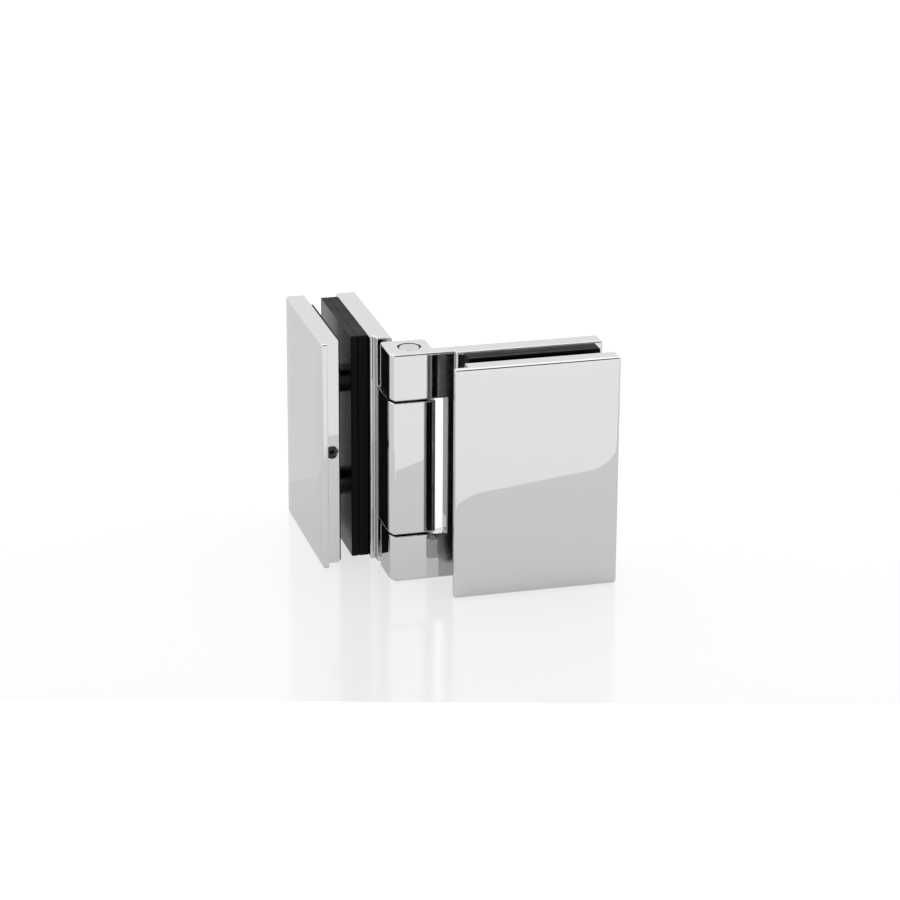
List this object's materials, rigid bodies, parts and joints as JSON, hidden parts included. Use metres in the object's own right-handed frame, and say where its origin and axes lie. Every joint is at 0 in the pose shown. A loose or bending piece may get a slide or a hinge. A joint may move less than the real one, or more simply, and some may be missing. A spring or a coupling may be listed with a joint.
{
  "type": "glass door hinge",
  "caption": "Pivoting clamp hinge for glass panes: back bodies and cover plates with rubber sheets either side of the glass, joined by an upright pin.",
  "frame": {"origin": "pin's axis at the level of the bottom edges, which the hinge stands on", "axes": "+Z along the pin, upwards; +X along the fixed leaf; +Y along the door leaf at rest"},
  "size_m": [0.1045, 0.1045, 0.09],
  "materials": {
    "chrome": "polished",
    "steel": "satin",
    "rubber": "satin",
    "nylon": "matte"
  },
  "bodies": {
    "fixed_leaf": {"fixed_leaf_body": "chrome", "fixed_leaf_cover": "chrome", "fixed_leaf_backing_gasket": "rubber", "fixed_leaf_glass_gasket": "rubber", "fixed_leaf_cover_gasket": "rubber", "fixed_leaf_upper_clamp_screw": "steel", "fixed_leaf_lower_clamp_screw": "steel", "fixed_leaf_upper_sleeve": "nylon", "fixed_leaf_lower_sleeve": "nylon", "fixed_leaf_cover_set_screw": "steel", "upper_bush": "nylon", "lower_bush": "nylon", "lower_washer": "nylon"},
    "door_leaf": {"door_leaf_body": "chrome", "door_leaf_cover": "chrome", "door_leaf_backing_gasket": "rubber", "door_leaf_glass_gasket": "rubber", "door_leaf_cover_gasket": "rubber", "door_leaf_upper_clamp_screw": "steel", "door_leaf_lower_clamp_screw": "steel", "door_leaf_upper_sleeve": "nylon", "door_leaf_lower_sleeve": "nylon", "door_leaf_cover_set_screw": "steel", "hinge_pin": "chrome", "pin_set_screw": "steel", "upper_washer": "nylon"}
  },
  "joints": [
    {"name": "door_swing", "type": "hinge", "parent": "fixed_leaf", "child": "door_leaf", "pos_m": [0, 0, 0], "axis": [0, 0, 1], "range_deg": [-90, 90]}
  ]
}
